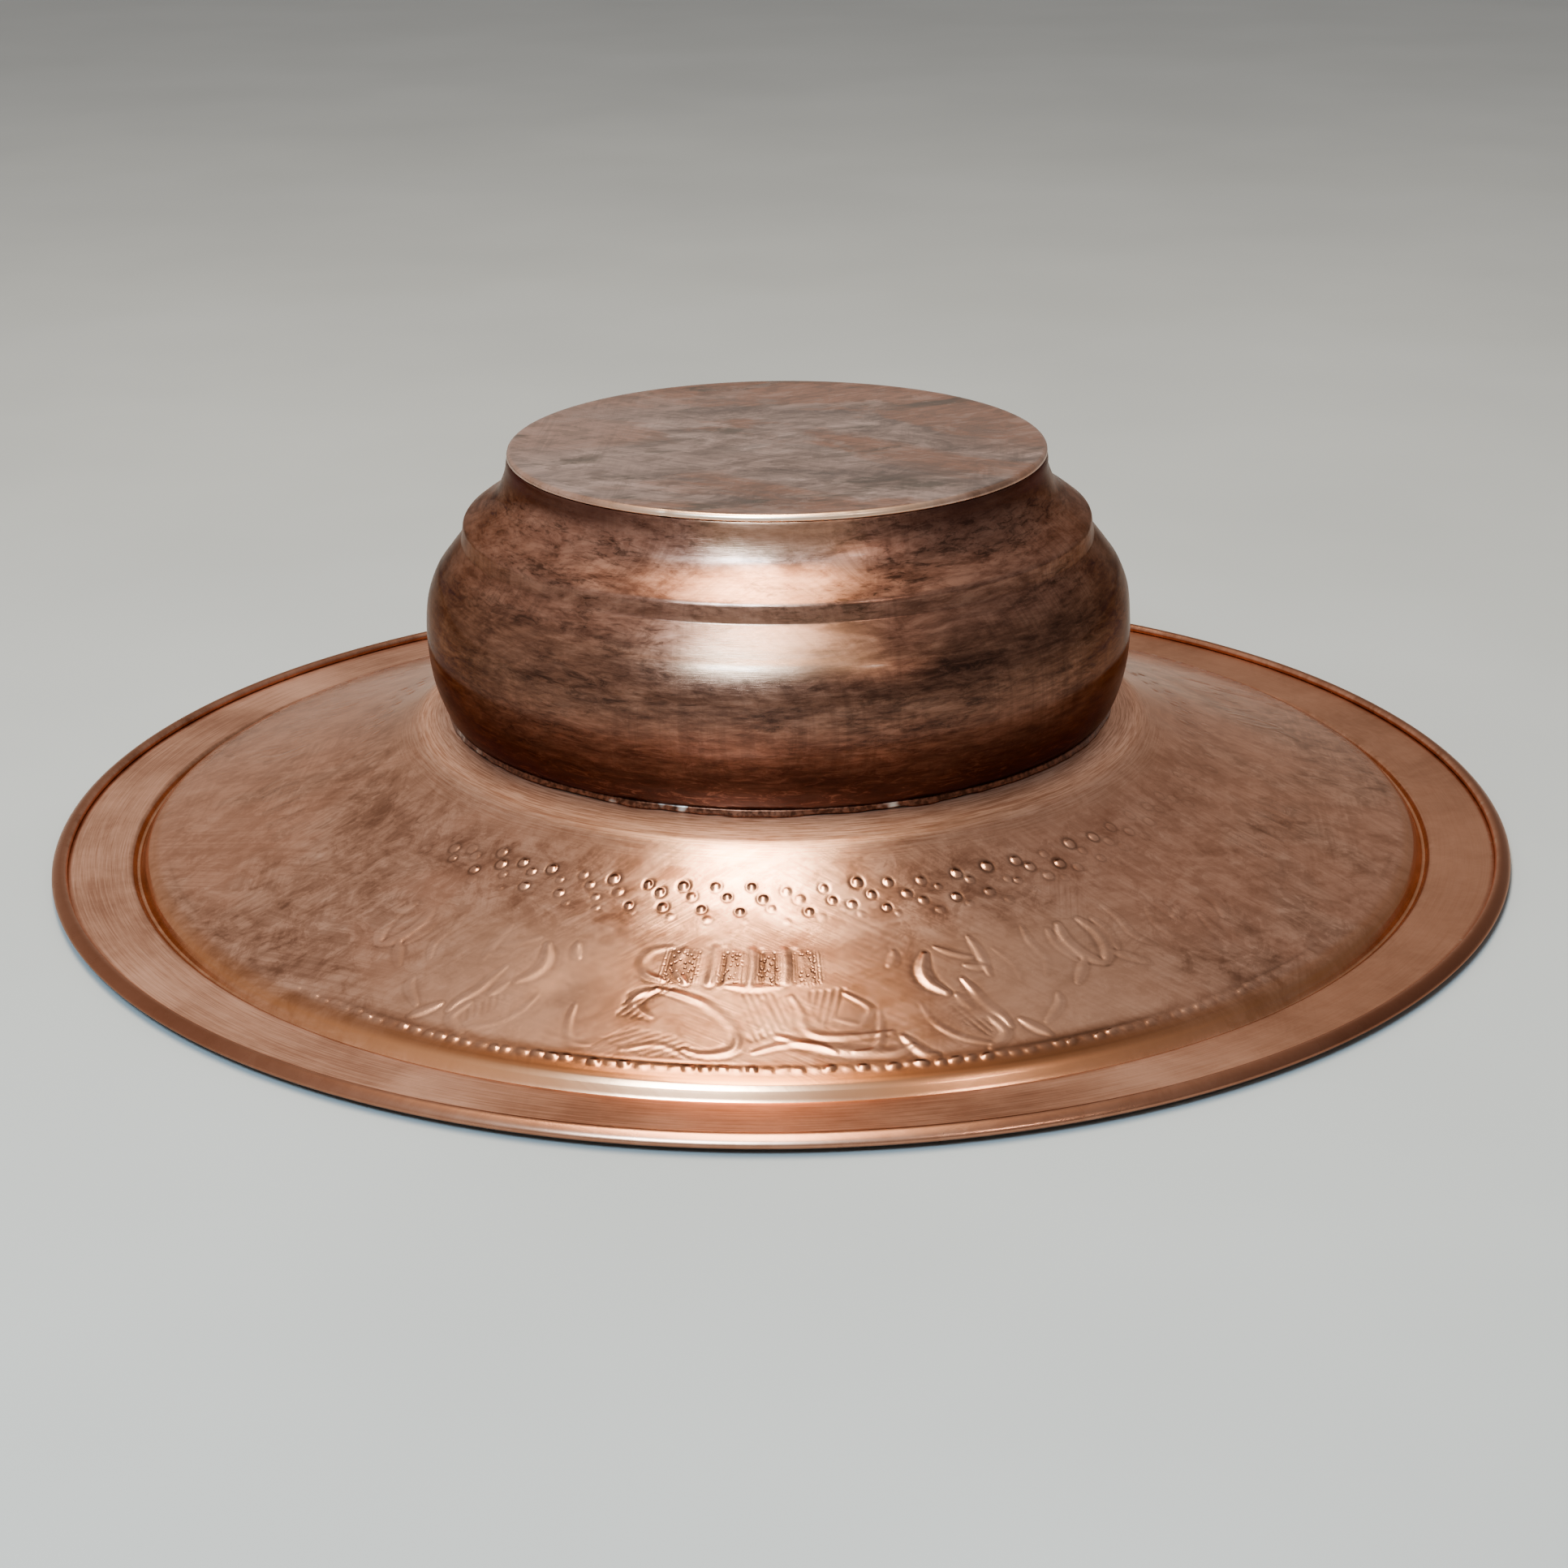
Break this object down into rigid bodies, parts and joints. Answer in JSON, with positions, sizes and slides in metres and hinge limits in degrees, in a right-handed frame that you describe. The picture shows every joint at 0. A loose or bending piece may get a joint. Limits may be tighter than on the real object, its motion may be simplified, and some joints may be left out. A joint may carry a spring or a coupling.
{
  "type": "footed wide-rim basin",
  "caption": "Footed copper basin with a round-bellied bowl and a wide sloping chased rim, its edge rolled over a wire, modelled lying face down.",
  "frame": {"origin": "centre of the plane that the basin rests on when it lies face down", "axes": "+Z is the axis of revolution and points up out of the foot; the rim is below; X and Y are equivalent"},
  "size_m": [0.36, 0.36, 0.0978],
  "materials": {
    "copper_body": "dark brown copper, brushed round the bowl",
    "copper_flange": "pinkish worn copper with a cloudy grey-brown patina",
    "copper_foot": "smudged mauve-brown copper, worn bright at its edge",
    "iron_wire": "plain drawn iron",
    "neck_solder": "dull tin solder, mostly toned to the colour of the copper",
    "foot_solder": "dull tin solder"
  },
  "bodies": {
    "root": {"bowl_body": "copper_body", "rim_flange": "copper_flange", "base_disc": "copper_foot", "rim_wire": "iron_wire", "neck_solder": "neck_solder", "foot_solder": "foot_solder"}
  },
  "joints": []
}
